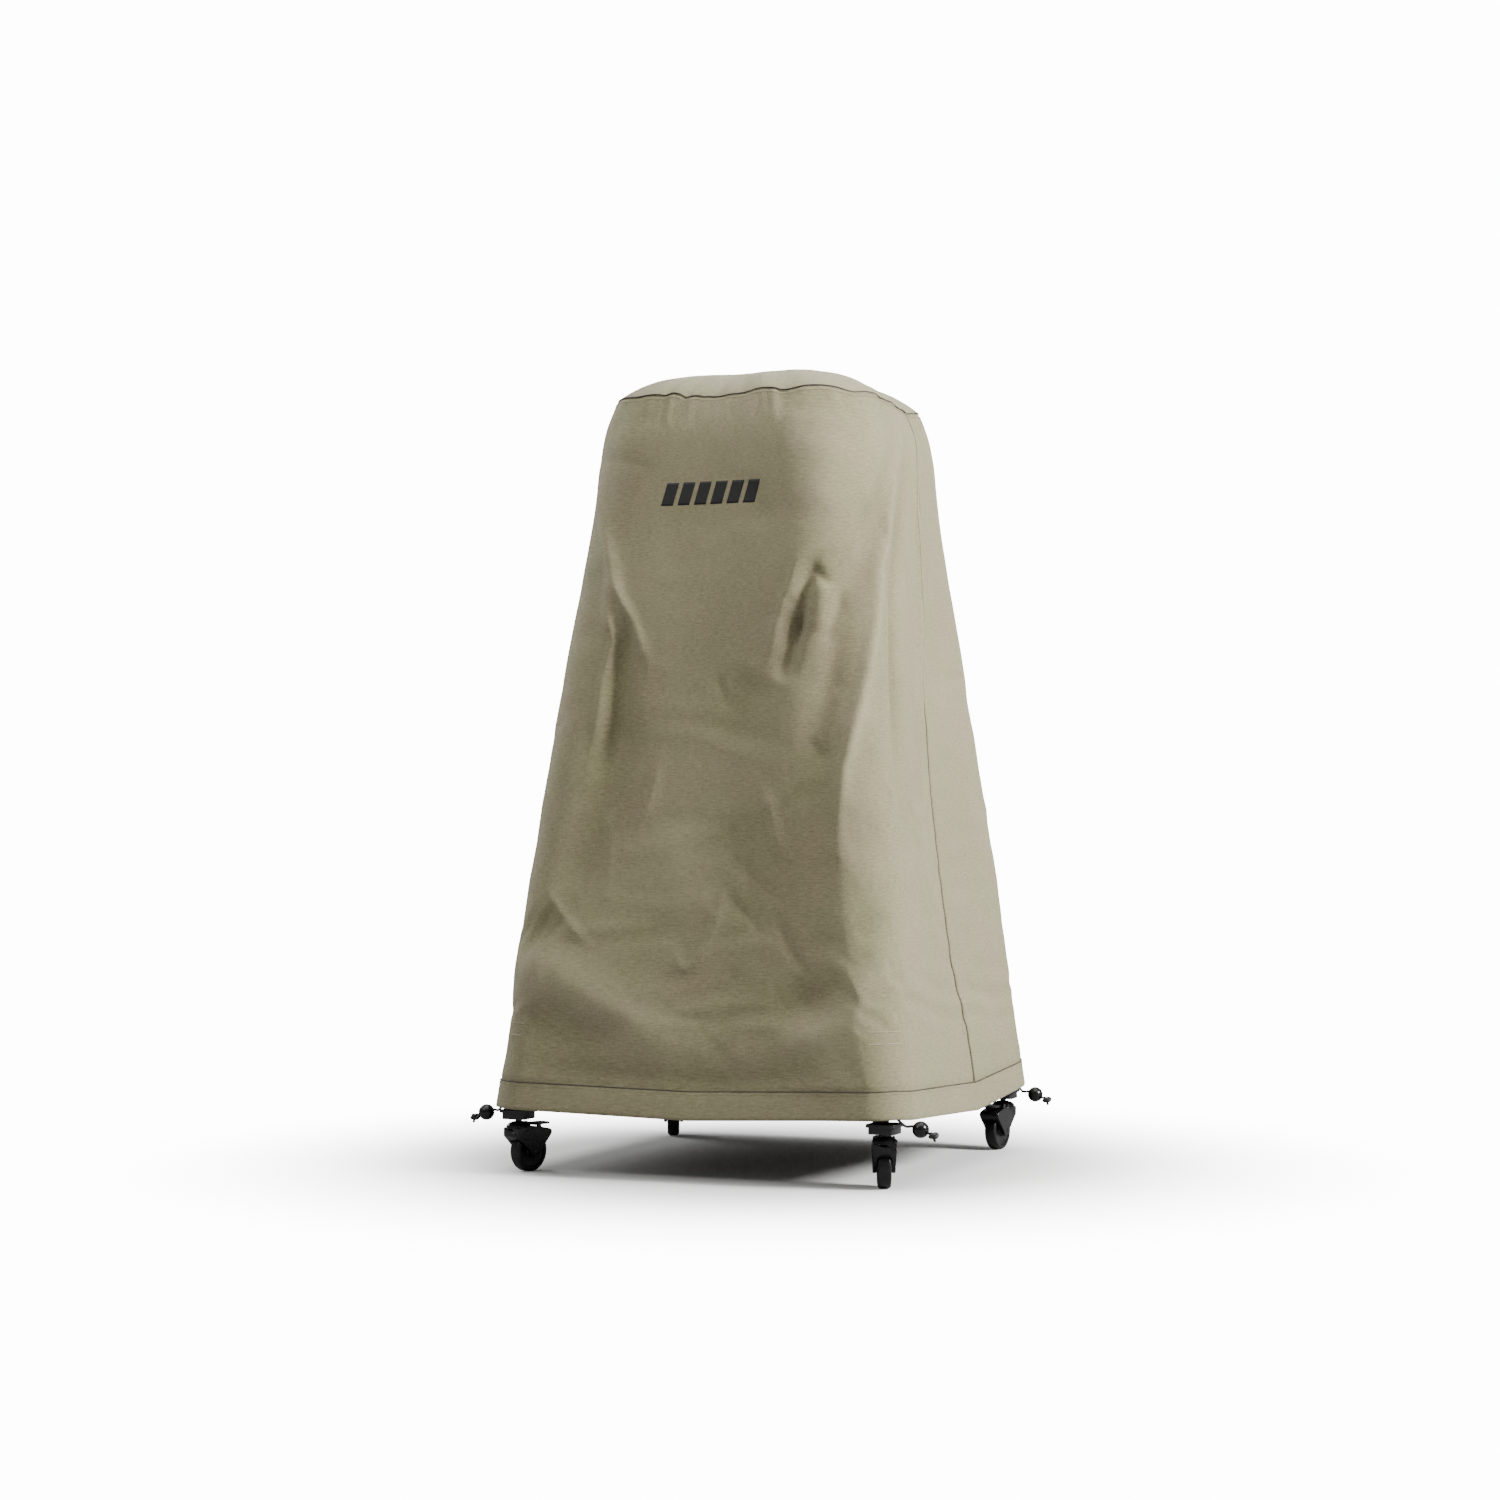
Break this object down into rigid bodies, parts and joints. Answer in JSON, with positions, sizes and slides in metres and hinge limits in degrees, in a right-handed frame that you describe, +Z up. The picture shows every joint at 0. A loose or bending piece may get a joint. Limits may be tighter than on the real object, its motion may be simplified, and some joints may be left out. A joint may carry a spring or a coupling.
{
  "type": "covered outdoor oven on stand",
  "caption": "Tapered khaki canvas cover with elastic ball ties, fitted over a small domed oven on a wheeled stand; it lifts straight off.",
  "frame": {"origin": "on the floor, at the middle of the cover's hem", "axes": "+Z up, -Y the front face that carries the printed mark, +X the right side"},
  "size_m": [0.772, 0.6848, 1.2629],
  "materials": {
    "canvas": "plain-woven olive khaki canvas, matt",
    "webbing": "black polyester webbing",
    "elastic": "black braided elastic cord",
    "black_plastic": "black moulded plastic, satin gloss",
    "black_nylon": "black moulded nylon, satin",
    "coated_steel": "black powder coat, satin",
    "bright_steel": "zinc-plated steel",
    "oven_coat": "dark heat-resistant coat, satin",
    "stone": null
  },
  "bodies": {
    "stand": {"top_tray": "coated_steel", "lower_shelf": "coated_steel", "rail_left": "coated_steel", "rail_right": "coated_steel", "oven_base": "oven_coat", "oven_wall": "oven_coat", "oven_dome": "oven_coat", "oven_stone": "stone", "leg_front_right": "coated_steel", "foot_front_right": "coated_steel", "caster_stem_front_right": "bright_steel", "leg_front_left": "coated_steel", "foot_front_left": "coated_steel", "caster_stem_front_left": "bright_steel", "leg_back_right": "coated_steel", "foot_back_right": "coated_steel", "caster_stem_back_right": "bright_steel", "leg_back_left": "coated_steel", "foot_back_left": "coated_steel", "caster_stem_back_left": "bright_steel"},
    "cover": {"cover_top": "canvas", "cover_front": "canvas", "cover_back": "canvas", "hem_front": "canvas", "hem_back": "canvas", "seam_tape_left": "webbing", "seam_tape_right": "webbing", "strap_front_right": "webbing", "tie_cord_front_right": "elastic", "tie_ball_front_right": "black_plastic", "tie_knot_front_right": "elastic", "strap_front_left": "webbing", "tie_cord_front_left": "elastic", "tie_ball_front_left": "black_plastic", "tie_knot_front_left": "elastic", "strap_back_right": "webbing", "tie_cord_back_right": "elastic", "tie_ball_back_right": "black_plastic", "tie_knot_back_right": "elastic", "strap_back_left": "webbing", "tie_cord_back_left": "elastic", "tie_ball_back_left": "black_plastic", "tie_knot_back_left": "elastic"},
    "caster_front_right": {"caster_fork_front_right": "black_nylon", "caster_axle_front_right": "bright_steel"},
    "wheel_front_right": {"caster_wheel_front_right": "black_nylon"},
    "pedal_front_right": {"brake_pedal_front_right": "black_nylon"},
    "caster_front_left": {"caster_fork_front_left": "black_nylon", "caster_axle_front_left": "bright_steel"},
    "wheel_front_left": {"caster_wheel_front_left": "black_nylon"},
    "pedal_front_left": {"brake_pedal_front_left": "black_nylon"},
    "caster_back_right": {"caster_fork_back_right": "black_nylon", "caster_axle_back_right": "bright_steel"},
    "wheel_back_right": {"caster_wheel_back_right": "black_nylon"},
    "pedal_back_right": {"brake_pedal_back_right": "black_nylon"},
    "caster_back_left": {"caster_fork_back_left": "black_nylon", "caster_axle_back_left": "bright_steel"},
    "wheel_back_left": {"caster_wheel_back_left": "black_nylon"},
    "pedal_back_left": {"brake_pedal_back_left": "black_nylon"}
  },
  "joints": [
    {"name": "cover_lift", "type": "slide", "parent": "stand", "child": "cover", "axis": [0, 0, 1], "range_m": [0, 1.2]},
    {"name": "swivel_front_right", "type": "hinge", "parent": "stand", "child": "caster_front_right", "pos_m": [0.302, -0.302, 0.0755], "axis": [0, 0, 1], "continuous": true},
    {"name": "spin_front_right", "type": "hinge", "parent": "caster_front_right", "child": "wheel_front_right", "pos_m": [0.29376, -0.2816, 0.0325], "axis": [-0.9272, -0.3746, 0], "continuous": true},
    {"name": "brake_front_right", "type": "hinge", "parent": "caster_front_right", "child": "pedal_front_right", "pos_m": [0.29076, -0.27418, 0.0738], "axis": [-0.9272, -0.3746, 0], "range_deg": [0, 12]},
    {"name": "swivel_front_left", "type": "hinge", "parent": "stand", "child": "caster_front_left", "pos_m": [-0.302, -0.302, 0.0755], "axis": [0, 0, 1], "continuous": true},
    {"name": "spin_front_left", "type": "hinge", "parent": "caster_front_left", "child": "wheel_front_left", "pos_m": [-0.2952, -0.28108, 0.0325], "axis": [-0.9511, 0.309, 0], "continuous": true},
    {"name": "brake_front_left", "type": "hinge", "parent": "caster_front_left", "child": "pedal_front_left", "pos_m": [-0.29273, -0.27347, 0.0738], "axis": [-0.9511, 0.309, 0], "range_deg": [0, 12]},
    {"name": "swivel_back_right", "type": "hinge", "parent": "stand", "child": "caster_back_right", "pos_m": [0.302, 0.302, 0.0755], "axis": [0, 0, 1], "continuous": true},
    {"name": "spin_back_right", "type": "hinge", "parent": "caster_back_right", "child": "wheel_back_right", "pos_m": [0.29894, 0.28021, 0.0325], "axis": [0.9903, -0.1392, 0], "continuous": true},
    {"name": "brake_back_right", "type": "hinge", "parent": "caster_back_right", "child": "pedal_back_right", "pos_m": [0.29783, 0.27229, 0.0738], "axis": [0.9903, -0.1392, 0], "range_deg": [0, 12]},
    {"name": "swivel_back_left", "type": "hinge", "parent": "stand", "child": "caster_back_left", "pos_m": [-0.302, 0.302, 0.0755], "axis": [0, 0, 1], "continuous": true},
    {"name": "spin_back_left", "type": "hinge", "parent": "caster_back_left", "child": "wheel_back_left", "pos_m": [-0.29376, 0.2816, 0.0325], "axis": [0.9272, 0.3746, 0], "continuous": true},
    {"name": "brake_back_left", "type": "hinge", "parent": "caster_back_left", "child": "pedal_back_left", "pos_m": [-0.29076, 0.27418, 0.0738], "axis": [0.9272, 0.3746, 0], "range_deg": [0, 12]}
  ]
}
